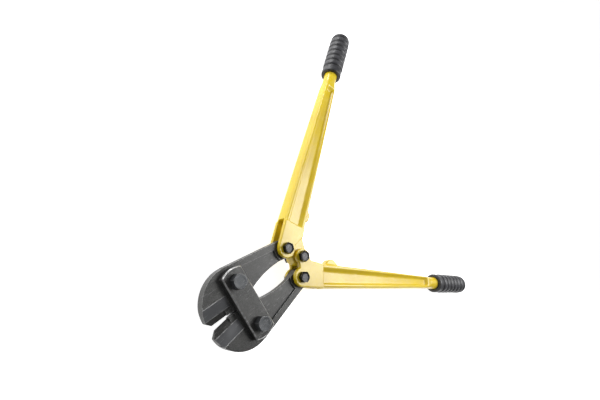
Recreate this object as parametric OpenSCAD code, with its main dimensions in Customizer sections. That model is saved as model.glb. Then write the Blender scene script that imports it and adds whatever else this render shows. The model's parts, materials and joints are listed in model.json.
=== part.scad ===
// Bolt cutters, 600 mm class: two forged jaws on a pair of side plates, worked by
// two forged I-section handles through a centre pivot. The tool is drawn lying on
// its rear face, nose towards +X, with the handles part-way open.
// Origin: the middle of the rear end of the centre bolt, which joins the two handles.

/* [Head] */
// Distance between the two jaw pivots
pivot_spacing = 60; // [56:1:64]
// Thickness of the jaws
jaw_t = 13; // [12:0.5:14]
// Thickness of a jaw arm inside its rim
web_t = 8.6; // [8:0.2:9]
// Angle by which each jaw stands open at rest
jaw_open = 3.5; // [3.4:0.1:3.6]
// Distance from a jaw pivot back to the bolt in its tail
arm_reach = 88.2; // [86:0.1:90]
// Height of the tail bolt above the jaw pivot when the jaws are shut
tail_rise = 1.4; // [1.4:0.1:2]
// Radius of the round head of a jaw
head_r = 45; // [43:0.5:46]
// Where the cutting edge ends at the nose
nose_x = 46; // [44:0.5:48]
// Where the cutting edge begins at the throat
throat_x = 25.5; // [25:0.5:28]

/* [Side plates] */
// Thickness of each side plate
plate_t = 8; // [7:0.5:9]
// Width of each side plate
plate_w = 30.4; // [28:0.2:32]
// Length of each side plate at its corners
plate_l = 85.6; // [82:0.2:88]
// Height of the shallow arc at each end of a side plate
plate_arc = 4.4; // [3:0.2:5]

/* [Handles] */
// Distance from a tail bolt to the centre bolt
toggle_r = 28.62; // [28.61:0.01:28.8]
// Angle between a handle and the centre line at rest
handle_open = 36.2; // [35:0.1:37]
// Thickness of the forked end of a handle
fork_t = 26; // [25:0.2:27]
// Distance from a tail bolt to the open end of the grip
grip_start = 337; // [325:1:345]
// Radius of the round stub that carries the grip
stub_r = 11.2; // [11:0.1:11.6]

/* [Grips] */
// Length of each grip
grip_l = 100; // [95:1:105]
// Radius of each grip over its ribs
grip_r = 18; // [17:0.1:18.5]
// Number of grooves round each grip
groove_count = 7; // [6:1:8]

/* [Bolts] */
// Radius of the shank of a jaw pivot bolt
pivot_r = 5; // [5:0.1:6]
// Width across the flats of a jaw pivot bolt and its nut
pivot_af = 17; // [16:0.5:18]
// Radius of the shank of a handle bolt
bolt_r = 4; // [4:0.1:4.5]
// Width across the flats of a handle bolt and its nut
bolt_af = 14; // [13:0.5:15]

/* [Hidden] */
$fn = 96;

gap = 0.3;                          // clear space between parts that slide past each other
run = 0.05;                         // radial clearance of a bore that turns on a bolt
play = 2.5;                         // extra radius of the centre bore in the upper handle
big = 400;                          // longer than anything it cuts
half_gap = gap / 2;

// Jaw, in its own frame: pivot at the origin, nose along +X, jaws shut, centre line above
centre_y = pivot_spacing / 2;
head_x = 7.5;
head_y = centre_y - 6.5;
lens_r = 132;
lens_x = -67;
lens_y = 144;
tail_r = 12.5;
arm_low = 12;
rim_w = 8.7;
rim_stop = 17;
bevel_drop = 22;
edge_drop = 8;
edge_t = 1;
edge_shoulder_t = 8;
bevel_x = 17.5;

// The linkage at rest
tail_x = -arm_reach * cos(jaw_open) + tail_rise * sin(jaw_open);
tail_y = centre_y - arm_reach * sin(jaw_open) - tail_rise * cos(jaw_open);
centre_x = tail_x - sqrt(toggle_r * toggle_r - tail_y * tail_y);
toggle_dir = atan2(tail_y, centre_x - tail_x) - 180 - handle_open;
eye_x = toggle_r * cos(toggle_dir);
eye_y = toggle_r * sin(toggle_dir);

// Fork of a handle, in the handle's frame: tail bolt at the origin, grip along +X
slot_h = jaw_t / 2 + gap;
ear_r = 13.4;
eye_r = 11.2;
tongue_r = 13.2;
tail_room = tail_r + 1;
tongue_room = tongue_r + play + 0.4;
slot_end = 40;
slot_floor = 4;
fork_end = 38;

// Bar of a handle: where it is, its outer and inner side, and its half thickness
bar = [
    [34, 15, -20.8, fork_t / 2 - 0.4],
    [125, 13.5, -18.6, 12],
    [210, 11.9, -15.6, 11.4],
    [302, 9.7, -12.5, 10.8]
];
stub_x = 316;
stub_y = -1.4;

// Pocket in each face of the bar: where it is, its outer and inner edge, and its height.
// The first two outlines are at the face of the bar, the last two at the pocket's floor.
pocket_face = [[38, 8.6, -15.4, 13], [304, 4.2, -10.7, 10.8]];
pocket_floor = [[38.5, 7.4, -10.3, 8.8], [297, 3.2, -6.8, 5.8]];
pocket_corner = 1.6;
core_r = 9.4;
core_end = 428;
press = 0.1;
lug = [[44, -17], [55.5, -28], [65, -28.5], [79, -17]];
lug_t = 11;

pivot_head_h = 9;
pivot_nut_h = 8.5;
pivot_washer_t = 2.4;
bolt_head_h = 5.5;
bolt_nut_h = 7;
bolt_washer_t = 2;
bolt_proud = 1;
collar_r = grip_r - 0.6;
mid_z = fork_t / 2 + bolt_washer_t + bolt_nut_h + bolt_proud;

yellow = [0.93, 0.78, 0.12];
forged = [0.36, 0.36, 0.37];
dark_steel = [0.2, 0.2, 0.21];
rubber = [0.16, 0.16, 0.17];

// Both halves of the tool share one shape, drawn for the upper side and mirrored
module side(upper) {
    translate([-centre_x, 0, mid_z]) mirror([0, upper ? 0 : 1, 0]) children();
}

module at_pivot(upper) {
    side(upper) translate([0, -centre_y, 0]) children();
}

module at_tail(upper) {
    side(upper) translate([tail_x, -tail_y, 0]) children();
}

module at_handle(upper) {
    at_tail(upper) rotate(180 + handle_open) children();
}

module at_centre() {
    translate([0, 0, mid_z]) children();
}

module slab(height) {
    translate([0, 0, -height / 2]) linear_extrude(height) children();
}

// Fasteners, drawn with their axis on Z
module hex_block(across, height, top, bottom) {
    corner = across / 2 / cos(30);
    flat = across / 2 * 1.02;
    drop = (corner - flat) * 0.6;
    intersection() {
        cylinder(r = corner, h = height, $fn = 6);
        rotate_extrude() polygon([
            [0, 0], [bottom ? flat : corner, 0], [corner, drop],
            [corner, height - drop], [top ? flat : corner, height], [0, height]
        ]);
    }
}

module bolt(radius, across, head_h, seat, end, turn) {
    translate([0, 0, seat]) rotate(turn) hex_block(across, head_h, true, false);
    rotate_extrude() polygon([
        [0, end], [radius - 1, end], [radius, end + 1], [radius, seat + 2], [0, seat + 2]
    ]);
}

module nut(radius, across, height, seat, turn) {
    difference() {
        translate([0, 0, seat - height]) rotate(turn) hex_block(across, height, false, true);
        translate([0, 0, seat - height - 1]) cylinder(r = radius + run, h = height + 2);
    }
}

// A split spring washer, with its narrow gap
module spring_washer(radius, width, height, seat, turn) {
    translate([0, 0, seat - height]) difference() {
        cylinder(r = radius + width, h = height);
        translate([0, 0, -1]) cylinder(r = radius + run, h = height + 2);
        rotate(turn) translate([radius + width / 2, 0, height / 2]) rotate([25, 0, 0])
            cube([width * 3, 1, height * 3], center = true);
    }
}

// Head
module plate_end(way) {
    arc_r = (plate_w * plate_w / 4 + plate_arc * plate_arc) / (2 * plate_arc);
    centre = plate_l / 2 + plate_arc - arc_r;
    mirror([0, way]) {
        translate([0, centre]) circle(r = arc_r);
        translate([-plate_w / 2, -big]) square([plate_w, big + centre]);
    }
}

module plate_outline() {
    intersection() {
        square([plate_w, plate_l + 2 * plate_arc], center = true);
        plate_end(0);
        plate_end(1);
    }
}

module side_plate(front) {
    color(forged) side(front) mirror([0, 0, front ? 0 : 1]) translate([0, 0, jaw_t / 2 + gap])
        difference() {
            linear_extrude(plate_t) plate_outline();
            for (y = [-centre_y, centre_y])
                translate([0, y, -1]) cylinder(r = pivot_r + run, h = plate_t + 2);
        }
}

module jaw_blank() {
    slab(jaw_t) translate([head_x, head_y]) circle(r = head_r);
    slab(jaw_t) polygon([[3, -21.6], [-arm_reach, -arm_low], [-arm_reach, 14], [0, centre_y]]);
    slab(jaw_t) translate([-arm_reach, tail_rise]) circle(r = tail_r);
}

module jaw_trim() {
    slab(2 * jaw_t) translate([lens_x, lens_y]) circle(r = lens_r, $fn = 180);
    slab(2 * jaw_t) translate([-big / 2, centre_y - half_gap]) square([big, big]);
    slab(2 * jaw_t) polygon([
        [nose_x, centre_y], [nose_x + 7.5, centre_y - 8], [big, centre_y - 8], [big, centre_y]
    ]);
}

// The cuts that bevel one face of a jaw: a shallow one from the side plate on,
// and a steep one down to the cutting edge
module bevel_cut() {
    translate([bevel_x, centre_y - half_gap, 0]) rotate([90, 0, 90]) linear_extrude(big)
        polygon([
            [1, edge_shoulder_t / 2], [-edge_drop, edge_shoulder_t / 2],
            [-bevel_drop, jaw_t / 2], [-bevel_drop, jaw_t], [1, jaw_t]
        ]);
    translate([throat_x, centre_y - half_gap, 0]) rotate([90, 0, 90]) linear_extrude(big)
        polygon([
            [1, edge_t / 2], [0, edge_t / 2], [-edge_drop, edge_shoulder_t / 2],
            [-edge_drop, jaw_t], [1, jaw_t]
        ]);
}

// The sunk panel of a jaw arm, which leaves a rim along the outer side
module arm_recess() {
    translate([0, 0, web_t / 2]) linear_extrude(jaw_t) difference() {
        polygon([
            [-12, -21 + rim_w], [-arm_reach, -arm_low + rim_w], [-arm_reach, big], [-12, big]
        ]);
        translate([-arm_reach, tail_rise]) circle(r = rim_stop);
    }
}

module jaw(upper) {
    color(forged) at_pivot(upper) rotate(-jaw_open) difference() {
        jaw_blank();
        jaw_trim();
        for (face = [0, 1]) mirror([0, 0, face]) {
            bevel_cut();
            arm_recess();
        }
        translate([0, 0, -jaw_t]) cylinder(r = pivot_r + run, h = 2 * jaw_t);
        translate([-arm_reach, tail_rise, -jaw_t]) cylinder(r = bolt_r + run, h = 2 * jaw_t);
    }
}

module pivot_bolt(upper) {
    seat = jaw_t / 2 + gap + plate_t;
    end = -seat - pivot_washer_t - pivot_nut_h - bolt_proud;
    color(dark_steel) at_pivot(upper) bolt(pivot_r, pivot_af, pivot_head_h, seat, end, upper ? 19 : -24);
}

module pivot_washer(upper) {
    color(dark_steel) at_pivot(upper)
        spring_washer(pivot_r, 3.8, pivot_washer_t, -jaw_t / 2 - gap - plate_t, upper ? 40 : 130);
}

module pivot_nut(upper) {
    color(dark_steel) at_pivot(upper)
        nut(pivot_r, pivot_af, pivot_nut_h, -jaw_t / 2 - gap - plate_t - pivot_washer_t, upper ? 12 : 41);
}

// Handles
module ear_outline(upper) {
    circle(r = ear_r);
    polygon([
        [0, ear_r], [fork_end, bar[0][1] - 0.6], [fork_end, bar[0][2] + 0.6],
        upper ? [26, -21] : [15, -23.5], upper ? [9, -12] : [eye_x + 10, eye_y - 4], [-4.6, -12.4]
    ]);
    if (!upper) {
        translate([eye_x, eye_y]) circle(r = eye_r);
        polygon([[-5, -12.3], [eye_x - 6, eye_y + 8.5], [eye_x + 6, eye_y - 6], [14, -14]]);
    }
}

// The solid root of the fork, and the tongue or web that runs on between its ears
module fork_root(upper) {
    slab(2 * slot_h) polygon([
        [24, 13], [fork_end + 6, 12], [fork_end + 6, bar[0][2] + 2], [24, bar[0][2] + 2]
    ]);
    slab(jaw_t) polygon([
        [0, 13], [fork_end + 3, 13.5], [fork_end + 3, bar[0][2] + 1.2],
        upper ? [24, -26] : [22, -20], [10, upper ? -36 : -20], [0, -tail_room]
    ]);
    if (upper) slab(jaw_t) translate([eye_x, eye_y]) circle(r = tongue_r);
}

// Room between the ears: for the jaw's tail and arm, and for the other handle's tongue
module fork_slot(upper) {
    slab(2 * slot_h) circle(r = tail_room);
    slab(2 * slot_h) translate([slot_end - big, slot_floor]) square([big, big]);
    slab(2 * slot_h) translate([slot_end - big - 14, -6]) square([big, big]);
    slab(2 * slot_h) translate([2 - big, -tail_room]) square([big, big]);
    if (!upper) slab(2 * slot_h) translate([eye_x, eye_y]) circle(r = tongue_room);
}

// One cross-section of the bar, with rounded edges
module bar_section(at) {
    translate([at[0], 0, 0]) rotate([90, 0, 90]) linear_extrude(0.1) polygon([
        [at[1], -0.4 * at[3]], [at[1], 0.4 * at[3]], [at[1] - 0.8, 0.75 * at[3]], [at[1] - 2.3, at[3]],
        [at[2] + 1.5, at[3]], [at[2] + 0.5, 0.82 * at[3]], [at[2], 0.5 * at[3]],
        [at[2], -0.5 * at[3]], [at[2] + 0.5, -0.82 * at[3]], [at[2] + 1.5, -at[3]],
        [at[1] - 2.3, -at[3]], [at[1] - 0.8, -0.75 * at[3]]
    ]);
}

// A pocket in one face of the bar: wide at the face, narrower at its floor
module pocket() {
    hull() for (at = concat(pocket_face, pocket_floor), y = [at[1] - pocket_corner, at[2] + pocket_corner])
        translate([at[0], y, at[3]]) cylinder(r = pocket_corner, h = 0.2, $fn = 24);
}

module handle_bar() {
    difference() {
        union() {
            for (i = [0 : len(bar) - 2]) hull() {
                bar_section(bar[i]);
                bar_section(bar[i + 1]);
            }
            hull() {
                bar_section(bar[len(bar) - 1]);
                translate([320, stub_y, 0]) rotate([0, 90, 0]) cylinder(r = stub_r - 0.5, h = 1, $fn = 32);
            }
        }
        for (face = [0, 1]) mirror([0, 0, face]) pocket();
    }
    slab(lug_t) polygon(lug);
    translate([stub_x, stub_y, 0]) rotate([0, 90, 0]) cylinder(r = stub_r, h = grip_start + 4 - stub_x);
    translate([330, stub_y, 0]) rotate([0, 90, 0]) cylinder(r = core_r, h = core_end - 330);
}

module handle(upper) {
    color(yellow) at_handle(upper) difference() {
        union() {
            for (face = [0, 1]) mirror([0, 0, face])
                translate([0, 0, slot_h]) linear_extrude(fork_t / 2 - slot_h) ear_outline(upper);
            fork_root(upper);
            handle_bar();
        }
        fork_slot(upper);
        translate([0, 0, -fork_t]) cylinder(r = bolt_r + run, h = 2 * fork_t);
        translate([eye_x, eye_y, -fork_t])
            cylinder(r = upper ? bolt_r + play : bolt_r + run, h = 2 * fork_t);
    }
}

module grip(upper) {
    first_groove = 15;
    pitch = (grip_l - first_groove - 12) / (groove_count - 1);
    color(rubber) at_handle(upper) translate([grip_start, stub_y, 0]) rotate([0, 90, 0]) difference() {
        rotate_extrude() difference() {
            union() {
                translate([0, 1]) square([collar_r, 8]);
                square([collar_r - 1, 8]);
                translate([0, 8]) square([grip_r - 1, 12]);
                translate([0, 18]) square([grip_r, grip_l - 25]);
                intersection() {
                    translate([0, grip_l - 14]) circle(r = 14);
                    square([grip_r, grip_l]);
                }
                translate([0, grip_l - 9]) square([grip_r - 3, 7]);
            }
            for (i = [0 : groove_count - 1])
                translate([i == 0 ? grip_r - 0.8 : grip_r, first_groove + i * pitch]) circle(r = 2, $fn = 24);
            translate([-big, 0]) square([big, big]);
        }
        translate([0, 0, -1]) cylinder(r = stub_r + press * 2, h = 5.2);
        translate([0, 0, -1]) cylinder(r = core_r - press, h = core_end - grip_start + 1.2);
    }
}

module handle_bolt(upper) {
    color(dark_steel) at_tail(upper) bolt(bolt_r, bolt_af, bolt_head_h, fork_t / 2,
        -mid_z, upper ? 10 : -25);
}

module handle_washer(upper) {
    color(dark_steel) at_tail(upper)
        spring_washer(bolt_r, 3.2, bolt_washer_t, -fork_t / 2, upper ? 75 : 15);
}

module handle_nut(upper) {
    color(dark_steel) at_tail(upper)
        nut(bolt_r, bolt_af, bolt_nut_h, -fork_t / 2 - bolt_washer_t, upper ? 33 : 52);
}

module centre_bolt() {
    color(dark_steel) at_centre() bolt(bolt_r, bolt_af, bolt_head_h, fork_t / 2,
        -mid_z, 5);
}

module centre_washer() {
    color(dark_steel) at_centre() spring_washer(bolt_r, 3.2, bolt_washer_t, -fork_t / 2, 200);
}

module centre_nut() {
    color(dark_steel) at_centre() nut(bolt_r, bolt_af, bolt_nut_h, -fork_t / 2 - bolt_washer_t, 22);
}

side_plate(true);  // front_side_plate
side_plate(false);  // rear_side_plate
jaw(true);  // upper_jaw
jaw(false);  // lower_jaw
pivot_bolt(true);  // upper_pivot_bolt
pivot_bolt(false);  // lower_pivot_bolt
pivot_washer(true);  // upper_pivot_washer
pivot_washer(false);  // lower_pivot_washer
pivot_nut(true);  // upper_pivot_nut
pivot_nut(false);  // lower_pivot_nut
handle(true);  // upper_handle
handle(false);  // lower_handle
grip(true);  // upper_grip
grip(false);  // lower_grip
handle_bolt(true);  // upper_handle_bolt
handle_bolt(false);  // lower_handle_bolt
centre_bolt();
handle_washer(true);  // upper_handle_washer
handle_washer(false);  // lower_handle_washer
centre_washer();
handle_nut(true);  // upper_handle_nut
handle_nut(false);  // lower_handle_nut
centre_nut();
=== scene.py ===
"""Bolt cutters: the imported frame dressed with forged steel, enamel and rubber."""

from __future__ import annotations

import json
import logging
import math
from dataclasses import dataclass, field
from enum import Enum
from itertools import pairwise

import bmesh
import bpy
from mathutils import Matrix, Quaternion, Vector


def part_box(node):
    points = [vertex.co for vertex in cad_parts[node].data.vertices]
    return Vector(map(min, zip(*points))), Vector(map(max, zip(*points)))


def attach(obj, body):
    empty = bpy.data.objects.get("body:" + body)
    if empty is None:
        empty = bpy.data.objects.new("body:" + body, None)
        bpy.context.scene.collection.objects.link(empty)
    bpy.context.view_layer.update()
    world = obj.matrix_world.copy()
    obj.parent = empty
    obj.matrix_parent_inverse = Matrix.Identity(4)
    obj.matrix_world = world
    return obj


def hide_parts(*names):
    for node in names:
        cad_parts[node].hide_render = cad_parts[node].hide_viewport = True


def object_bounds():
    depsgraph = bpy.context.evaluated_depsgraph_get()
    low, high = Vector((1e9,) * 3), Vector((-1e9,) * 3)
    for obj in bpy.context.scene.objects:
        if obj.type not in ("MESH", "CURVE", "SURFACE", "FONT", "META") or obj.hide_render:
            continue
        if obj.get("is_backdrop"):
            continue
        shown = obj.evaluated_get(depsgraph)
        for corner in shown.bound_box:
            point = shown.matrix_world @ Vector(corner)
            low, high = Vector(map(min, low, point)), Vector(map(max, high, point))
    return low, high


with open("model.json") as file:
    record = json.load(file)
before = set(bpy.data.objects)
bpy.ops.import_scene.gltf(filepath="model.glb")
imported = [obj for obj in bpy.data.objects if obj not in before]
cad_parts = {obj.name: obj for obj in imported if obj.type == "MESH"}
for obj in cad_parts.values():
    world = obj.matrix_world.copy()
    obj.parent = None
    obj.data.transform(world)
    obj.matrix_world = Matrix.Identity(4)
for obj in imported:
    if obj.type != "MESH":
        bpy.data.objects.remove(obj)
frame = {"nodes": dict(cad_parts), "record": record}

LOG = logging.getLogger("bolt_cutters")
MM = 0.001
UP = Vector((0.0, 0.0, 1.0))

# Points closer than this are one point, and points within NEAR lie on the same plane.
MERGE = 0.004 * MM
NEAR = 0.01 * MM

# Bends in degrees: faces below FLAT_BEND are one flat, and edges above SQUARE_BEND are square.
FLAT_BEND = 0.6
SQUARE_BEND = 60.0


class Side(Enum):
    """The two mirrored halves of the tool."""

    UPPER = "upper"
    LOWER = "lower"

    @property
    def sign(self) -> float:
        """+1 for the upper half, -1 for its mirror image."""
        return 1.0 if self is Side.UPPER else -1.0


class Surface(Enum):
    """How a finished mesh is shaded. The value is the bend in degrees above which an edge is sharp."""

    SOFT = 180.0
    MACHINED = 32.0


# ---------------------------------------------------------------- shader tools


class Tree:
    """A node tree being wired up."""

    def __init__(self, tree: bpy.types.NodeTree) -> None:
        """Keeps the tree that new nodes go into."""
        self.tree = tree

    def add(self, kind: str, **values: object) -> bpy.types.Node:
        """Adds a node.

        Args:
            kind: The node's type name, without the word ShaderNode.
            values: Node settings in lower case, or socket values named in_0, in_1 and so on.

        Returns:
            The new node.
        """
        node = self.tree.nodes.new("ShaderNode" + kind)
        for key, value in values.items():
            if key.startswith("in_"):
                self.feed(node, int(key[3:]), value)
            else:
                setattr(node, key, value)
        return node

    def feed(self, node: bpy.types.Node, socket: int | str, value: object) -> None:
        """Links an output socket to an input, or sets the input's own value.

        Args:
            node: The node that is fed.
            socket: Index or name of its input.
            value: An output socket, or a plain value.
        """
        target = node.inputs[socket]
        if isinstance(value, bpy.types.NodeSocket):
            self.tree.links.new(value, target)
        else:
            target.default_value = value

    def maths(self, operation: str, first: object, second: object = 0.0) -> bpy.types.NodeSocket:
        """The result of a Math node with two inputs."""
        return self.add("Math", operation=operation, in_0=first, in_1=second).outputs[0]

    def ranged(self, value: object, low: float, high: float) -> bpy.types.NodeSocket:
        """Value stretched smoothly from low..high to 0..1, and clamped."""
        node = self.add("MapRange", interpolation_type="SMOOTHSTEP", in_0=value, in_1=low, in_2=high)
        return node.outputs[0]

    def mixed(self, factor: object, first: object, second: object) -> bpy.types.NodeSocket:
        """Two colours mixed by a factor.

        Args:
            factor: 0 for the first colour, 1 for the second.
            first: The first colour.
            second: The second colour.

        Returns:
            The mixed colour.
        """
        node = self.add("Mix", data_type="RGBA")
        self.feed(node, "Factor", factor)
        for socket, value in ((6, first), (7, second)):
            self.feed(node, socket, value)
        return node.outputs[2]

    def place(self) -> bpy.types.NodeSocket:
        """Object coordinates, in metres."""
        return self.add("TexCoord").outputs["Object"]


class Effects:
    """The shader node groups that several finishes share, each built once."""

    def __init__(self) -> None:
        """Builds every group."""
        self.worn_edges = self._worn_edges()
        self.grain = self._grain()
        self.drift = self._drift()
        self.dust = self._dust()
        self.scratches = self._scratches()

    @staticmethod
    def _start(
        name: str, inputs: dict[str, float], outputs: tuple[str, ...]
    ) -> tuple[bpy.types.NodeTree, Tree, bpy.types.Node, bpy.types.Node]:
        """Starts a group with float sockets.

        Args:
            name: The group's name.
            inputs: Input names and their default values.
            outputs: Output names.

        Returns:
            The group, its tree wrapper, its input node and its output node.
        """
        group = bpy.data.node_groups.new(name, "ShaderNodeTree")
        for key, value in inputs.items():
            socket = group.interface.new_socket(key, in_out="INPUT", socket_type="NodeSocketFloat")
            socket.default_value = value
        for key in outputs:
            group.interface.new_socket(key, in_out="OUTPUT", socket_type="NodeSocketFloat")
        source = group.nodes.new("NodeGroupInput")
        result = group.nodes.new("NodeGroupOutput")
        return group, Tree(group), source, result

    def _worn_edges(self) -> bpy.types.NodeTree:
        """A mask that is bright along edges, broken up by noise. Steel paints it bright, partly as wear and
        partly as painted highlight; enamel uses it for chips.
        """
        group, tree, source, result = self._start(
            "worn edges", {"Radius": 0.001, "Break-up": 300.0, "Amount": 1.0}, ("Mask",)
        )
        rounded = tree.add("Bevel", samples=8, in_0=source.outputs["Radius"])
        shading = tree.add("NewGeometry").outputs["Normal"]
        dot = tree.add("VectorMath", operation="DOT_PRODUCT", in_0=rounded.outputs[0], in_1=shading)
        bend = tree.maths("SUBTRACT", 1.0, dot.outputs["Value"])
        noise = tree.add("TexNoise", in_0=tree.place(), in_2=source.outputs["Break-up"], in_3=4.0, in_4=0.6)
        broken = tree.ranged(noise.outputs[0], 0.38, 0.62)
        edge = tree.ranged(bend, 0.01, 0.12)
        mask = tree.maths("MULTIPLY", edge, broken)
        tree.feed(result, "Mask", tree.maths("MULTIPLY", mask, source.outputs["Amount"]))
        return group

    def _grain(self) -> bpy.types.NodeTree:
        """Fine cast or moulded grain: a height and a tone."""
        group, tree, source, result = self._start(
            "grain", {"Scale": 900.0, "Pitting": 0.4}, ("Height", "Tone")
        )
        scale = source.outputs["Scale"]
        fine = tree.add("TexNoise", in_0=tree.place(), in_2=scale, in_3=6.0, in_4=0.65)
        pits = tree.add("TexVoronoi", in_0=tree.place(), in_2=tree.maths("MULTIPLY", scale, 0.55))
        holes = tree.maths("MULTIPLY", tree.ranged(pits.outputs[0], 0.35, 0.05), source.outputs["Pitting"])
        tree.feed(result, "Height", tree.maths("SUBTRACT", fine.outputs[0], holes))
        tree.feed(result, "Tone", tree.ranged(fine.outputs[0], 0.3, 0.7))
        return group

    def _drift(self) -> bpy.types.NodeTree:
        """Slow cloudy variation over a piece, from 0 to 1."""
        group, tree, source, result = self._start(
            "slow drift", {"Scale": 25.0, "Low": 0.35, "High": 0.65}, ("Value",)
        )
        noise = tree.add("TexNoise", in_0=tree.place(), in_2=source.outputs["Scale"], in_3=5.0, in_4=0.55)
        spread = tree.add("MapRange", in_0=noise.outputs[0], in_1=source.outputs["Low"])
        tree.feed(spread, 2, source.outputs["High"])
        tree.feed(result, "Value", spread.outputs[0])
        return group

    def _dust(self) -> bpy.types.NodeTree:
        """A thin patchy film on faces that look upwards."""
        group, tree, source, result = self._start(
            "settled dust", {"Amount": 0.3, "Scale": 60.0}, ("Mask",)
        )
        normal = tree.add("SeparateXYZ", in_0=tree.add("NewGeometry").outputs["Normal"])
        facing = tree.ranged(normal.outputs[2], 0.35, 0.95)
        noise = tree.add("TexNoise", in_0=tree.place(), in_2=source.outputs["Scale"], in_3=7.0, in_4=0.7)
        patches = tree.ranged(noise.outputs[0], 0.4, 0.7)
        film = tree.maths("MULTIPLY", facing, patches)
        tree.feed(result, "Mask", tree.maths("MULTIPLY", film, source.outputs["Amount"]))
        return group

    def _scratches(self) -> bpy.types.NodeTree:
        """Sparse fine scratches, as a mask."""
        group, tree, source, result = self._start(
            "scratches", {"Scale": 70.0, "Amount": 0.5}, ("Mask",)
        )
        masks = []
        for turn in (0.4, 1.7, 2.5):
            mapping = tree.add("Mapping", in_0=tree.place())
            mapping.inputs["Rotation"].default_value = (0.3 * turn, 0.2, turn)
            mapping.inputs["Scale"].default_value = (1.0, 28.0, 1.0)
            scale = source.outputs["Scale"]
            noise = tree.add("TexNoise", in_0=mapping.outputs[0], in_2=scale, in_3=2.0, in_4=0.4)
            masks.append(tree.ranged(noise.outputs[0], 0.71, 0.76))
        both = tree.maths("MAXIMUM", masks[0], tree.maths("MAXIMUM", masks[1], masks[2]))
        tree.feed(result, "Mask", tree.maths("MULTIPLY", both, source.outputs["Amount"]))
        return group


@dataclass(frozen=True)
class Finish:
    """A surface finish: its name, its slot in the record, and how it is wired."""

    name: str
    slot: str

    def material(self, effects: Effects) -> bpy.types.Material:
        """Builds the material.

        Args:
            effects: The shared node groups.

        Returns:
            The finished material.
        """
        material = bpy.data.materials.new(self.name)
        material.use_nodes = True
        tree = Tree(material.node_tree)
        shader = material.node_tree.nodes["Principled BSDF"]
        self.wire(tree, shader, effects)
        return material

    def wire(self, tree: Tree, shader: bpy.types.Node, effects: Effects) -> None:
        """Wires the finish. Each kind of finish has its own way."""
        raise NotImplementedError

    @staticmethod
    def effect(tree: Tree, group: bpy.types.NodeTree, **values: object) -> bpy.types.Node:
        """Places a shared group in a material and sets its inputs.

        Args:
            tree: The material's tree.
            group: The shared group.
            values: Input values, with _ in a name for a space or a dash.

        Returns:
            The group's node.
        """
        node = tree.add("Group", node_tree=group)
        for key, value in values.items():
            name = next(s.name for s in node.inputs if s.name.replace("-", "_").replace(" ", "_") == key)
            tree.feed(node, name, value)
        return node

    @staticmethod
    def bump(tree: Tree, shader: bpy.types.Node, height: object, depth: float) -> None:
        """Feeds the shader's normal with a bump.

        Args:
            tree: The material's tree.
            shader: Its shader.
            height: A height from about 0 to 1.
            depth: Depth of the bump, in metres.
        """
        node = tree.add("Bump", in_0=1.0, in_1=depth)
        tree.feed(node, "Height", height)
        tree.feed(shader, "Normal", node.outputs[0])


@dataclass(frozen=True)
class DarkSteel(Finish):
    """Black-finished steel, forged or rolled, with bright edges that are partly wear and partly painted
    highlight.

    The face attribute that soften() sets marks edge strips painted bright, partly as wear and partly as
    painted highlight lines, and "ground" marks machined faces.
    """

    dark: tuple[float, float, float] = (0.016, 0.016, 0.0155)
    light: tuple[float, float, float] = (0.090, 0.090, 0.087)
    ground: tuple[float, float, float] = (0.125, 0.128, 0.136)
    # Colour of the bright edges and strips: steel showing through wear, and painted highlight.
    bare_and_highlight: tuple[float, float, float] = (0.50, 0.50, 0.50)
    roughness: float = 0.40
    metal: float = 0.45
    grain_scale: float = 1100.0
    grain_depth: float = 0.00022
    pitting: float = 0.5
    cloud_scale: float = 38.0
    grain_share: float = 0.6
    ground_amount: float = 0.75
    ground_smoothing: float = 0.6
    polish: float = -0.08
    edge_radius: float = 0.001
    edge_amount: float = 0.5
    strip_amount: float = 0.75
    scratch_amount: float = 0.3

    def wire(self, tree: Tree, shader: bpy.types.Node, effects: Effects) -> None:
        """Mixes cloudy steel, grain, scratches, and bright edges that are partly wear and partly painted
        highlight.

        Args:
            tree: The material's tree.
            shader: Its shader.
            effects: The shared node groups.
        """
        drift = self.effect(tree, effects.drift, Scale=self.cloud_scale).outputs[0]
        grain = self.effect(tree, effects.grain, Scale=self.grain_scale, Pitting=self.pitting)
        # Bright along every bend: partly wear, partly painted highlight.
        edges = self.effect(tree, effects.worn_edges, Radius=self.edge_radius, Amount=self.edge_amount)
        marks = self.effect(tree, effects.scratches, Amount=self.scratch_amount)
        # Strips that soften() marked, painted bright: partly wear, partly painted highlight lines.
        strip = tree.add("Attribute", attribute_name="worn").outputs["Fac"]
        patchy = self.effect(tree, effects.drift, Scale=160.0, Low=0.3, High=0.6).outputs[0]
        strip = tree.maths("MULTIPLY", tree.maths("MULTIPLY", strip, patchy), self.strip_amount)
        machined = tree.add("Attribute", attribute_name="ground").outputs["Fac"]
        fine = tree.maths("MULTIPLY", grain.outputs["Tone"], self.grain_share)
        tone = tree.maths("ADD", fine, tree.maths("MULTIPLY", drift, 1.0 - self.grain_share))
        body = tree.mixed(tone, (*self.dark, 1.0), (*self.light, 1.0))
        body = tree.mixed(
            tree.maths("MULTIPLY", machined, self.ground_amount), body, (*self.ground, 1.0)
        )
        worn = tree.maths("MAXIMUM", strip, tree.maths("MAXIMUM", edges.outputs[0], marks.outputs[0]))
        tree.feed(shader, "Base Color", tree.mixed(worn, body, (*self.bare_and_highlight, 1.0)))
        polish = tree.maths("MULTIPLY", tree.maths("ADD", worn, machined), self.polish)
        cloud = tree.maths("MULTIPLY", drift, 0.1)
        rough = tree.maths("ADD", tree.maths("ADD", polish, cloud), self.roughness - 0.03)
        tree.feed(shader, "Roughness", rough)
        tree.feed(shader, "Metallic", tree.maths("ADD", tree.maths("MULTIPLY", worn, 0.45), self.metal))
        smoother = tree.maths("SUBTRACT", 1.0, tree.maths("MULTIPLY", machined, self.ground_smoothing))
        cuts = tree.maths("MULTIPLY", marks.outputs[0], 0.3)
        height = tree.maths("SUBTRACT", grain.outputs["Height"], cuts)
        self.bump(tree, shader, tree.maths("MULTIPLY", height, smoother), self.grain_depth)


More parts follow.
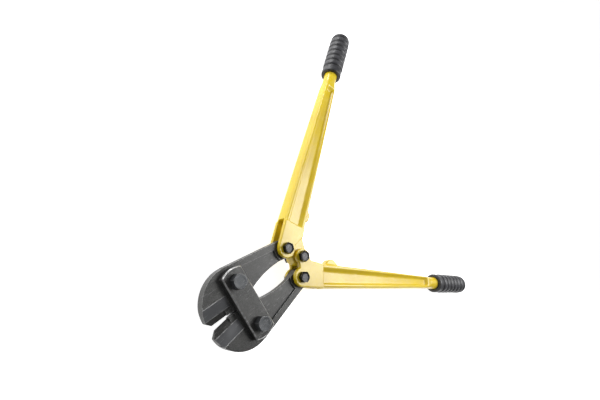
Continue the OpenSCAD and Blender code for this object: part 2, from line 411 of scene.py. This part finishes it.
@dataclass(frozen=True)
class Enamel(Finish):
    """Thick yellow enamel over a forging, chipped at the edges."""

    paint: tuple[float, float, float] = (0.76, 0.565, 0.008)
    deep: tuple[float, float, float] = (0.64, 0.45, 0.004)
    steel: tuple[float, float, float] = (0.12, 0.115, 0.10)
    dusty: tuple[float, float, float] = (0.80, 0.70, 0.38)
    dust_amount: float = 0.12
    scratch_amount: float = 0.14
    chip_radius: float = 0.0011
    roughness: float = 0.27
    coat: float = 0.3
    coat_roughness: float = 0.22
    peel_depth: float = 0.00016

    def wire(self, tree: Tree, shader: bpy.types.Node, effects: Effects) -> None:
        """Mixes the paint with small chips, a thin film of dust and an orange-peel skin.

        Args:
            tree: The material's tree.
            shader: Its shader.
            effects: The shared node groups.
        """
        drift = self.effect(tree, effects.drift, Scale=16.0).outputs[0]
        peel = self.effect(tree, effects.grain, Scale=420.0, Pitting=0.15)
        chips = self.effect(tree, effects.worn_edges, Radius=self.chip_radius, Break_up=150.0)
        chips = tree.ranged(chips.outputs[0], 0.72, 0.95)
        dust = self.effect(tree, effects.dust, Amount=self.dust_amount, Scale=45.0).outputs[0]
        marks = self.effect(tree, effects.scratches, Scale=50.0, Amount=self.scratch_amount).outputs[0]
        body = tree.mixed(drift, (*self.paint, 1.0), (*self.deep, 1.0))
        body = tree.mixed(tree.maths("ADD", dust, marks), body, (*self.dusty, 1.0))
        tree.feed(shader, "Base Color", tree.mixed(chips, body, (*self.steel, 1.0)))
        rough = tree.maths("ADD", tree.maths("MULTIPLY", dust, 0.5), self.roughness)
        rough = tree.maths("ADD", rough, tree.maths("MULTIPLY", drift, 0.08))
        tree.feed(shader, "Roughness", rough)
        tree.feed(shader, "Metallic", tree.maths("MULTIPLY", chips, 0.7))
        shader.inputs["Coat Roughness"].default_value = self.coat_roughness
        whole = tree.maths("SUBTRACT", 1.0, chips)
        tree.feed(shader, "Coat Weight", tree.maths("MULTIPLY", whole, self.coat))
        height = tree.maths("SUBTRACT", peel.outputs["Height"], tree.maths("MULTIPLY", chips, 0.8))
        self.bump(tree, shader, height, self.peel_depth)


@dataclass(frozen=True)
class Rubber(Finish):
    """Dark moulded grip rubber, lighter on the rib tops and darker in the grooves: partly wear from hands,
    partly painted highlight and painted shade.
    """

    fresh_and_shaded: tuple[float, float, float] = (0.016, 0.016, 0.018)
    rubbed_and_lit: tuple[float, float, float] = (0.062, 0.062, 0.070)
    dusty: tuple[float, float, float] = (0.2, 0.2, 0.2)
    dust_amount: float = 0.1
    roughness: float = 0.50
    grain_depth: float = 0.00014

    def wire(self, tree: Tree, shader: bpy.types.Node, effects: Effects) -> None:
        """Mixes a dark groove colour and a lighter rib-top colour by a per-vertex height share, with a
        moulded grain: the dark in the grooves is painted shade, the lighter tops partly wear and partly
        painted highlight.

        Args:
            tree: The material's tree.
            shader: Its shader.
            effects: The shared node groups.
        """
        # Rib tops lighter, grooves darker, by height: partly wear, partly painted highlight and painted
        # shade.
        ridge = tree.add("Attribute", attribute_name="ridge").outputs["Fac"]
        drift = self.effect(tree, effects.drift, Scale=90.0).outputs[0]
        grain = self.effect(tree, effects.grain, Scale=1300.0, Pitting=0.25)
        dust = self.effect(tree, effects.dust, Amount=self.dust_amount, Scale=110.0).outputs[0]
        rubbed_and_lit = tree.maths("MULTIPLY", ridge, tree.maths("ADD", tree.maths("MULTIPLY", drift, 0.6), 0.4))
        body = tree.mixed(rubbed_and_lit, (*self.fresh_and_shaded, 1.0), (*self.rubbed_and_lit, 1.0))
        tree.feed(shader, "Base Color", tree.mixed(dust, body, (*self.dusty, 1.0)))
        rough = tree.maths("SUBTRACT", self.roughness, tree.maths("MULTIPLY", rubbed_and_lit, 0.16))
        tree.feed(shader, "Roughness", rough)
        self.bump(tree, shader, grain.outputs["Height"], self.grain_depth)


@dataclass(frozen=True)
class Backdrop(Finish):
    """The plain pale floor, lit a little from below like a light table."""

    pale: tuple[float, float, float] = (0.9, 0.9, 0.9)
    shade: tuple[float, float, float] = (0.88, 0.88, 0.88)
    glow: float = 0.92
    roughness: float = 0.85

    def wire(self, tree: Tree, shader: bpy.types.Node, effects: Effects) -> None:
        """A matt near-white with the faintest mottling.

        Args:
            tree: The material's tree.
            shader: Its shader.
            effects: The shared node groups.
        """
        drift = self.effect(tree, effects.drift, Scale=4.0).outputs[0]
        colour = tree.mixed(drift, (*self.pale, 1.0), (*self.shade, 1.0))
        tree.feed(shader, "Base Color", colour)
        tree.feed(shader, "Emission Color", colour)
        shader.inputs["Emission Strength"].default_value = self.glow
        shader.inputs["Roughness"].default_value = self.roughness


class Finishes:
    """Every finish of the tool, made once."""

    def __init__(self, effects: Effects) -> None:
        """Builds the materials.

        Args:
            effects: The shared node groups.
        """
        kinds = {
            "forged": DarkSteel("forged steel", "forged_steel"),
            "plate": DarkSteel(
                "side plate steel", "plate_steel",
                light=(0.085, 0.085, 0.082), bare_and_highlight=(0.6, 0.6, 0.6), roughness=0.38, strip_amount=0.85,
            ),
            "bolt": DarkSteel(
                "bolt steel", "bolt_steel",
                dark=(0.030, 0.032, 0.034), light=(0.075, 0.079, 0.084),
                roughness=0.34, metal=0.5, grain_depth=0.00012, strip_amount=0.6,
            ),
            "small_bolt": DarkSteel(
                "blackened bolt steel", "bolt_steel",
                dark=(0.006, 0.006, 0.007), light=(0.016, 0.016, 0.017),
                roughness=0.22, metal=0.6, grain_depth=0.00008, strip_amount=0.35, edge_amount=0.25,
            ),
            "washer": DarkSteel(
                "spring steel", "washer_steel",
                dark=(0.04, 0.04, 0.04), light=(0.08, 0.08, 0.08), roughness=0.32, metal=0.7,
            ),
            "enamel": Enamel("yellow enamel", "handle_paint"),
            "rubber": Rubber("grip rubber", "grip_rubber"),
            "floor": Backdrop("studio floor", ""),
        }
        self.made = {key: (kind.material(effects), kind.slot) for key, kind in kinds.items()}

    def dress(self, piece: bpy.types.Object, key: str) -> None:
        """Gives a piece its material.

        Args:
            piece: The piece to dress.
            key: Key of its finish.
        """
        material, slot = self.made[key]
        piece.data.materials.clear()
        piece.data.materials.append(material)


# ---------------------------------------------------------------- mesh tools


def finish_mesh(bm: bmesh.types.BMesh, name: str, surface: Surface) -> bpy.types.Object:
    """Turns a bmesh into a shaded object at the origin.

    Args:
        bm: The finished bmesh, in metres in the row frame. It is freed.
        name: The object's name.
        surface: How it is shaded.

    Returns:
        The new object.
    """
    bmesh.ops.recalc_face_normals(bm, faces=bm.faces)
    if bm.calc_volume(signed=True) < 0:
        bmesh.ops.reverse_faces(bm, faces=bm.faces)
    mesh = bpy.data.meshes.new(name)
    bm.to_mesh(mesh)
    bm.free()
    mesh.shade_smooth()
    piece = bpy.data.objects.new(name, mesh)
    bpy.context.scene.collection.objects.link(piece)
    if surface is Surface.MACHINED:
        mesh.set_sharp_from_angle(angle=math.radians(surface.value))
        shading = piece.modifiers.new("flat faces stay flat", "WEIGHTED_NORMAL")
        shading.weight = 100
        shading.keep_sharp = True
    return piece


def node_copy(node: str) -> bmesh.types.BMesh:
    """A copy of a CAD node with its doubles merged and flat areas joined.

    Args:
        node: The CAD node.

    Returns:
        The copy, which can be changed.
    """
    bm = bmesh.new()
    bm.from_mesh(frame["nodes"][node].data)
    bmesh.ops.remove_doubles(bm, verts=bm.verts, dist=MERGE)
    bmesh.ops.dissolve_limit(bm, angle_limit=math.radians(FLAT_BEND), verts=bm.verts, edges=bm.edges)
    return bm


def bends(bm: bmesh.types.BMesh, above: float, below: float = 180.0) -> list[bmesh.types.BMEdge]:
    """The edges whose faces meet at a bend between two angles, in degrees."""
    low, high = math.radians(above), math.radians(below)
    return [e for e in bm.edges if len(e.link_faces) == 2 and low < e.calc_face_angle(0.0) <= high]


def soften(bm: bmesh.types.BMesh, width: float, edges: list[bmesh.types.BMEdge], segments: int = 2) -> None:
    """Bevels edges, and marks the new strips in a face attribute that steel paints bright, partly as wear
    and partly as painted highlight.

    Args:
        bm: The bmesh to change.
        width: Width of the bevel, in metres.
        edges: The edges to bevel.
        segments: Number of segments across the bevel.
    """
    worn = bm.faces.layers.float.get("worn") or bm.faces.layers.float.new("worn")
    result = bmesh.ops.bevel(
        bm, geom=edges, offset=width, offset_type="OFFSET", affect="EDGES",
        segments=segments, profile=0.5, material=-1, clamp_overlap=True,
    )
    for face in result["faces"]:
        face[worn] = 1.0


def merge_slivers(bm: bmesh.types.BMesh, size: float) -> None:
    """Merges the slivers that a bevel leaves at its corners, and drops the flaps that hang from them.

    Args:
        bm: The closed solid to mend.
        size: Width below which a sliver is merged, in metres.
    """
    bmesh.ops.remove_doubles(bm, verts=bm.verts, dist=size)
    bmesh.ops.dissolve_degenerate(bm, edges=bm.edges, dist=size / 2)
    flaps = [face for face in bm.faces if any(edge.is_boundary for edge in face.edges)]
    bmesh.ops.delete(bm, geom=flaps, context="FACES")


def carve(bm: bmesh.types.BMesh, cutters: list[bmesh.types.BMesh]) -> bmesh.types.BMesh:
    """Cuts solids out of a solid.

    Args:
        bm: The solid to cut. It is freed.
        cutters: The solids to take away. They are freed.

    Returns:
        The cut solid.
    """
    for cutter in cutters:
        pair = []
        for part in (bm, cutter):
            mesh = bpy.data.meshes.new("carving")
            part.to_mesh(mesh)
            part.free()
            pair.append(bpy.data.objects.new("carving", mesh))
            bpy.context.scene.collection.objects.link(pair[-1])
        cut = pair[0].modifiers.new("cut", "BOOLEAN")
        cut.operation = "DIFFERENCE"
        cut.solver = "EXACT"
        cut.object = pair[1]
        graph = bpy.context.evaluated_depsgraph_get()
        bm = bmesh.new()
        bm.from_mesh(bpy.data.meshes.new_from_object(pair[0].evaluated_get(graph)))
        for piece in pair:
            bpy.data.objects.remove(piece)
    return bm


def forge_skin(bm: bmesh.types.BMesh, name: str, voxel: float, rounds: int) -> bmesh.types.BMesh:
    """Gives a sharp solid the rounded skin of a forging, by an even remesh that is then smoothed.

    Args:
        bm: The sharp solid. It is freed.
        name: A name for the working object.
        voxel: Size of the remesh, in metres.
        rounds: Number of smoothing rounds.

    Returns:
        The skinned bmesh.
    """
    mesh = bpy.data.meshes.new(name)
    bm.to_mesh(mesh)
    bm.free()
    work = bpy.data.objects.new(name, mesh)
    bpy.context.scene.collection.objects.link(work)
    remesh = work.modifiers.new("remesh", "REMESH")
    remesh.mode = "VOXEL"
    remesh.voxel_size = voxel
    graph = bpy.context.evaluated_depsgraph_get()
    skin = bmesh.new()
    skin.from_mesh(bpy.data.meshes.new_from_object(work.evaluated_get(graph)))
    bpy.data.objects.remove(work)
    for _ in range(rounds):
        bmesh.ops.smooth_vert(
            skin, verts=skin.verts, factor=0.5, use_axis_x=True, use_axis_y=True, use_axis_z=True
        )
    return skin


def centre_of(node: str) -> Vector:
    """The middle of a CAD node's box."""
    low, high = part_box(node)
    return (low + high) / 2


@dataclass
class Shop:
    """What every sub-assembly needs to make its pieces."""

    finishes: Finishes
    made: list[str] = field(default_factory=list)

    def hand_over(self, piece: bpy.types.Object, finish: str, body: str, node: str) -> None:
        """Dresses a piece, sets it on its body, and lets it stand for its CAD node.

        Args:
            piece: The finished object.
            finish: Key of its finish.
            body: The CAD body that it rides on.
            node: The CAD node that it stands for.
        """
        self.finishes.dress(piece, finish)
        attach(piece, body)
        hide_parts(node)
        self.made.append(piece.name)
        LOG.info("%s rides on %s, finish %s, %d faces", piece.name, body, finish, len(piece.data.polygons))


# ---------------------------------------------------------------- sub-assemblies


@dataclass
class SidePlates:
    """The two plates that carry the jaws, each with a shallow sunk panel between its bolts."""

    edge_round: float = 0.6 * MM
    end_chamfer: float = 1.5 * MM
    panel_long: float = 30 * MM
    panel_wide: float = 9 * MM
    panel_deep: float = 0.16 * MM
    panel_draft: float = 0.2 * MM
    arc_depth: float = 4.6 * MM

    def build(self, shop: Shop) -> None:
        """Makes both plates.

        Args:
            shop: The finishes, and the list of pieces made.
        """
        for node in ("front_side_plate", "rear_side_plate"):
            bm = carve(node_copy(node), [self.panel(node)])
            # These chamfers and rounds become strips that steel paints bright: partly edge wear, partly
            # painted highlight.
            soften(bm, self.end_chamfer, self.end_arcs(bm, node), segments=1)
            soften(bm, self.edge_round, bends(bm, SQUARE_BEND))
            piece = finish_mesh(bm, node + "_rolled", Surface.MACHINED)
            shop.hand_over(piece, "plate", "head", node)

    def end_arcs(self, bm: bmesh.types.BMesh, node: str) -> list[bmesh.types.BMEdge]:
        """The outer edges along the arcs at both ends of a plate.

        Args:
            bm: The plate.
            node: Its CAD node.

        Returns:
            The edges to chamfer.
        """
        low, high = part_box(node)
        face = high.z if node.startswith("front") else low.z
        reach = (high.y - low.y) / 2 - self.arc_depth
        return [
            e for e in bends(bm, SQUARE_BEND)
            if all(abs(v.co.z - face) < NEAR and abs(v.co.y) > reach for v in e.verts)
        ]

    def panel(self, node: str) -> bmesh.types.BMesh:
        """The cutter for a plate's sunk panel.

        Args:
            node: The plate's CAD node.

        Returns:
            A tapered block that stands out of the plate's outer face.
        """
        low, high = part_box(node)
        front = node.startswith("front")
        face = high.z if front else low.z
        way = 1.0 if front else -1.0
        bm = bmesh.new()
        bmesh.ops.create_cube(bm, size=2.0)
        for vert in bm.verts:
            grow = vert.co.z * way * self.panel_draft
            vert.co.x *= self.panel_wide / 2 + grow
            vert.co.y *= self.panel_long / 2 + grow
            vert.co.z *= self.panel_deep
        middle = (low + high) / 2
        bmesh.ops.translate(bm, verts=bm.verts, vec=(middle.x, middle.y, face))
        return bm


@dataclass
class Jaws:
    """The two forged jaws: crisp edges, ground bevels towards the cutting edge."""

    edge_round: float = 0.8 * MM
    line_width: float = 0.55 * MM
    sliver: float = 0.06 * MM
    ground_tilt: tuple[float, float] = (0.97, 0.998)
    line_bends: tuple[float, float] = (5.0, 28.0)
    sharp_bend: float = 40.0
    facing: float = 0.5

    def build(self, shop: Shop) -> None:
        """Makes both jaws.

        Args:
            shop: The finishes, and the list of pieces made.
        """
        for side in Side:
            node = f"{side.value}_jaw"
            bm = node_copy(node)
            ground = bm.faces.layers.float.new("ground")
            for face in bm.faces:
                if self.ground_tilt[0] < abs(face.normal.z) < self.ground_tilt[1]:
                    face[ground] = 1.0
            # The shoulder lines where a bevel meets the flat get a thin strip that steel paints bright: a
            # painted highlight line, partly edge wear.
            bent = bends(bm, *self.line_bends)
            lines = [e for e in bent if min(abs(face.normal.z) for face in e.link_faces) > self.facing]
            soften(bm, self.line_width, lines, segments=1)
            soften(bm, self.edge_round, bends(bm, self.sharp_bend))
            merge_slivers(bm, self.sliver)
            piece = finish_mesh(bm, node + "_forging", Surface.MACHINED)
            shop.hand_over(piece, "forged", node, node)


@dataclass
class Handles:
    """The two forged handles."""

    voxel: float = 1.0 * MM
    rounds: int = 3

    def build(self, shop: Shop) -> None:
        """Makes both handles.

        Args:
            shop: The finishes, and the list of pieces made.
        """
        for side in Side:
            node = f"{side.value}_handle"
            bm = forge_skin(node_copy(node), node + "_work", self.voxel, self.rounds)
            piece = finish_mesh(bm, node + "_forging", Surface.SOFT)
            shop.hand_over(piece, "enamel", node, node)


@dataclass
class Grips:
    """The ribbed rubber grips, turned from one profile."""

    start: float = 337 * MM
    length: float = 100 * MM
    radius: float = 18 * MM
    collar: float = 17.4 * MM
    collar_steps: tuple[tuple[float, float], ...] = (
        (1.4 * MM, 0.0), (0.4 * MM, 0.5 * MM), (0.0, 1.6 * MM),
        (0.0, 6.4 * MM), (0.3 * MM, 8.2 * MM), (0.7 * MM, 11 * MM),
    )
    bore: float = 9.35 * MM
    mouth: float = 11.3 * MM
    mouth_round: tuple[float, float] = (0.5 * MM, 0.4 * MM)
    mouth_depths: tuple[float, float] = (5 * MM, 4 * MM)
    open_angle: float = 36.2
    offset: float = -1.4 * MM
    grooves: int = 7
    first_groove: float = 15 * MM
    last_groove: float = 12 * MM
    groove_steps: tuple[tuple[float, float], ...] = (
        (0.0, -2.2 * MM), (0.5 * MM, -1.5 * MM), (1.3 * MM, -0.8 * MM), (1.6 * MM, 0.0),
        (1.3 * MM, 0.8 * MM), (0.5 * MM, 1.5 * MM), (0.0, 2.2 * MM),
    )
    first_edge: float = 1.0 * MM
    rib_swell: tuple[tuple[float, float], ...] = ((0.32, 0.8), (0.5, 1.0), (0.68, 0.8))
    bore_depth: float = 92 * MM
    tip_round: float = 9 * MM
    tip_wide: float = 8.4 * MM
    tip_turns: tuple[float, ...] = (4, 18, 32, 46, 60, 74)
    rib_height: float = 0.55 * MM
    rub_height: float = 2.0 * MM
    steps: int = 96

    def profile(self) -> list[tuple[float, float]]:
        """Points of (radius, height) from the bottom of the bore round to the closed end.

        Returns:
            The profile, in metres.
        """
        top = self.length
        points = [
            (0.0, self.bore_depth), (self.bore, self.bore_depth), (self.bore, self.mouth_depths[0]),
            (self.mouth, self.mouth_depths[1]), (self.mouth, self.mouth_round[1]),
            (self.mouth + self.mouth_round[0], 0.0),
        ]
        points += [(self.collar - inset, height) for inset, height in self.collar_steps]
        pitch = (top - self.first_groove - self.last_groove) / (self.grooves - 1)
        for groove in range(self.grooves):
            middle = self.first_groove + groove * pitch
            for number, (drop, along) in enumerate(self.groove_steps):
                collar_side = groove == 0 and number < len(self.groove_steps) - 2
                edge = self.radius - (self.first_edge if collar_side else self.rib_height)
                points.append((edge - drop, middle + along))
            if groove < self.grooves - 1:
                edge = self.radius - self.rib_height
                for part, swell in self.rib_swell:
                    points.append((edge + self.rib_height * swell, middle + pitch * part))
        for turn in self.tip_turns:
            angle = math.radians(turn)
            out = self.radius - self.tip_round + self.tip_wide * math.cos(angle)
            points.append((out, top - self.tip_round + self.tip_round * math.sin(angle)))
        return points + [(0.0, top)]

    def build(self, shop: Shop) -> None:
        """Makes both grips.

        Args:
            shop: The finishes, and the list of pieces made.
        """
        for side in Side:
            node = f"{side.value}_grip"
            bm = bmesh.new()
            points = [bm.verts.new((r, 0.0, z)) for r, z in self.profile()]
            lines = [bm.edges.new(pair) for pair in pairwise(points)]
            bmesh.ops.spin(
                bm, geom=points + lines, cent=(0, 0, 0), axis=UP, angle=math.tau,
                steps=self.steps, use_merge=True,
            )
            bmesh.ops.remove_doubles(bm, verts=bm.verts, dist=MERGE)
            # A share from groove bottom to rib top, which the rubber paints as wear and as painted highlight
            # and painted shade.
            ridge = bm.verts.layers.float.new("ridge")
            for vert in bm.verts:
                out = math.hypot(vert.co.x, vert.co.y)
                share = (out - self.radius + self.rub_height) / self.rub_height
                vert[ridge] = min(1.0, max(0.0, share))
            bm.transform(self.place(side))
            piece = finish_mesh(bm, node + "_ribbed", Surface.SOFT)
            shop.hand_over(piece, "rubber", f"{side.value}_handle", node)

    def place(self, side: Side) -> Matrix:
        """The matrix that sets a turned grip on its handle.

        Args:
            side: Which handle.

        Returns:
            A matrix from the turned grip to the row frame.
        """
        hinge = centre_of(f"{side.value}_handle_bolt")
        hinge.z = centre_of(f"{side.value}_handle").z
        angle = math.radians(180 + self.open_angle)
        along = Vector((math.cos(angle), side.sign * math.sin(angle), 0.0))
        outward = Vector((-math.sin(angle), side.sign * math.cos(angle), 0.0))
        start = hinge + along * self.start + outward * self.offset
        turn = along.to_track_quat("Z", "Y").to_matrix().to_4x4()
        return Matrix.Translation(start) @ turn


@dataclass
class Fasteners:
    """The bolts, spring washers and nuts."""

    kinds: tuple[str, ...] = ("bolt", "washer", "nut")
    edge_round: float = 0.3 * MM
    edge_bend: float = 20.0
    dish_rim: float = 3.2 * MM
    dish_slope: float = 0.5 * MM
    dish_depth: float = 0.4 * MM
    crown_width: float = 1.7 * MM
    crown_drop: float = 0.55 * MM

    def build(self, shop: Shop) -> None:
        """Makes every fastener.

        Args:
            shop: The finishes, and the list of pieces made.
        """
        members = frame["record"]["behaviour"]["bodies"]
        body_of = {node: body for body, nodes in members.items() for node in nodes}
        for node, body in body_of.items():
            kind = node.rsplit("_", 1)[-1]
            if kind not in self.kinds:
                continue
            big = "pivot" in node
            bm = node_copy(node)
            soften(bm, self.edge_round, bends(bm, self.edge_bend))
            if kind == "bolt" and big:
                self.dish(bm)
            elif kind == "bolt":
                self.crown(bm)
            finish = "washer" if kind == "washer" else "bolt" if big else "small_bolt"
            piece = finish_mesh(bm, node + "_turned", Surface.MACHINED)
            shop.hand_over(piece, finish, body, node)

    @staticmethod
    def top_face(bm: bmesh.types.BMesh) -> list[bmesh.types.BMFace]:
        """The flat top of a bolt head.

        Args:
            bm: The bolt.

        Returns:
            A list of one face: the highest, and of those the largest.
        """

        def rank(face: bmesh.types.BMFace) -> tuple[float, float]:
            """Height of a face in millimetres, then its area."""
            return round(face.calc_center_median().z / MM, 2), face.calc_area()

        return [max(bm.faces, key=rank)]

    def dish(self, bm: bmesh.types.BMesh) -> None:
        """Sinks a shallow dish into the top of a bolt head.

        Args:
            bm: The bolt.
        """
        top = self.top_face(bm)
        bmesh.ops.inset_region(bm, faces=top, thickness=self.dish_rim, use_even_offset=True)
        bmesh.ops.inset_region(
            bm, faces=top, thickness=self.dish_slope, depth=-self.dish_depth, use_even_offset=True
        )

    def crown(self, bm: bmesh.types.BMesh) -> None:
        """Rounds the top of a bolt head, by lowering its edge in two steps.

        Args:
            bm: The bolt.
        """
        top = self.top_face(bm)
        for drop in (self.crown_drop, self.crown_drop / 3):
            rim = list(top[0].verts)
            bmesh.ops.inset_region(bm, faces=top, thickness=self.crown_width, use_even_offset=True)
            for vert in rim:
                vert.co.z -= drop


@dataclass
class Studio:
    """The floor, the lights and the camera."""

    eye: Vector = field(default_factory=lambda: Vector((0.285929, -0.135367, 0.42518)))
    turn: Quaternion = field(default_factory=lambda: Quaternion((0.249191, 0.3480046, 0.0237684, 0.9034554)))
    lens: float = 21.2607
    world_strength: float = 0.22
    backdrop_strength: float = 1.0
    aim: Vector = field(default_factory=lambda: Vector((0.0, 0.0, 0.03)))
    key_place: Vector = field(default_factory=lambda: Vector((-0.68, 0.22, 0.8)))
    key_size: tuple[float, float] = (0.6, 0.6)
    key_power: float = 10.3
    fill_place: Vector = field(default_factory=lambda: Vector((0.0, -1.1, 0.22)))
    fill_size: tuple[float, float] = (1.2, 0.25)
    fill_power: float = 8.2
    floor_half: float = 30.0
    floor_gap: float = 0.05 * MM

    def build(self, shop: Shop) -> None:
        """Makes the whole studio.

        Args:
            shop: The finishes, and the list of pieces made.
        """
        self.floor(shop)
        self.light("key", self.key_place, self.key_size, self.key_power)
        self.light("side fill", self.fill_place, self.fill_size, self.fill_power)
        self.surround()
        bpy.context.scene.view_settings.view_transform = "Standard"
        self.camera()

    def surround(self) -> None:
        """A dim even light from all round, behind which the backdrop is as pale as the floor."""
        world = bpy.data.worlds.new("studio")
        world.use_nodes = True
        nodes, links = world.node_tree.nodes, world.node_tree.links
        seen = nodes.new("ShaderNodeLightPath")
        strength = nodes.new("ShaderNodeMapRange")
        strength.inputs["To Min"].default_value = self.world_strength
        strength.inputs["To Max"].default_value = self.backdrop_strength
        background = nodes["Background"]
        background.inputs["Color"].default_value = (1.0, 1.0, 1.0, 1.0)
        links.new(seen.outputs["Is Camera Ray"], strength.inputs["Value"])
        links.new(strength.outputs["Result"], background.inputs["Strength"])
        bpy.context.scene.world = world

    def floor(self, shop: Shop) -> None:
        """A wide plain floor under the tool.

        Args:
            shop: The finishes, and the list of pieces made.
        """
        bm = bmesh.new()
        bmesh.ops.create_grid(bm, x_segments=1, y_segments=1, size=self.floor_half)
        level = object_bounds()[0].z - self.floor_gap
        bmesh.ops.translate(bm, verts=bm.verts, vec=(0.0, 0.0, level))
        mesh = bpy.data.meshes.new("floor")
        bm.to_mesh(mesh)
        bm.free()
        floor = bpy.data.objects.new("floor", mesh)
        bpy.context.scene.collection.objects.link(floor)
        shop.finishes.dress(floor, "floor")
        floor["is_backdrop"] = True

    def light(self, name: str, place: Vector, size: tuple[float, float], power: float) -> None:
        """An oblong soft light that faces the tool.

        Args:
            name: The light's name.
            place: Where it stands, in the row frame.
            size: Its width and height, in metres.
            power: Its power, in watts.
        """
        lamp = bpy.data.lights.new(name, "AREA")
        lamp.shape = "RECTANGLE"
        lamp.size, lamp.size_y = size
        lamp.energy = power
        holder = bpy.data.objects.new(name, lamp)
        holder.location = place
        holder.rotation_mode = "QUATERNION"
        holder.rotation_quaternion = (self.aim - place).to_track_quat("-Z", "Y")
        bpy.context.scene.collection.objects.link(holder)

    def camera(self) -> None:
        """The camera, with no depth of field."""
        lens = bpy.data.cameras.new("camera")
        lens.lens = self.lens
        lens.sensor_width = 36.0
        lens.clip_start = 0.01
        lens.clip_end = 200.0
        eye = bpy.data.objects.new("camera", lens)
        eye.rotation_mode = "QUATERNION"
        eye.location = self.eye
        eye.rotation_quaternion = self.turn
        bpy.context.scene.collection.objects.link(eye)
        bpy.context.scene.camera = eye


def main() -> None:
    """Builds the tool piece by piece, then its studio."""
    logging.basicConfig(level=logging.INFO, format="%(name)s: %(message)s")
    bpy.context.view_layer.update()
    shop = Shop(Finishes(Effects()))
    for assembly in (SidePlates(), Jaws(), Handles(), Grips(), Fasteners()):
        assembly.build(shop)
    Studio().build(shop)
    LOG.info("%d pieces made", len(shop.made))


if __name__ == "__main__":
    main()
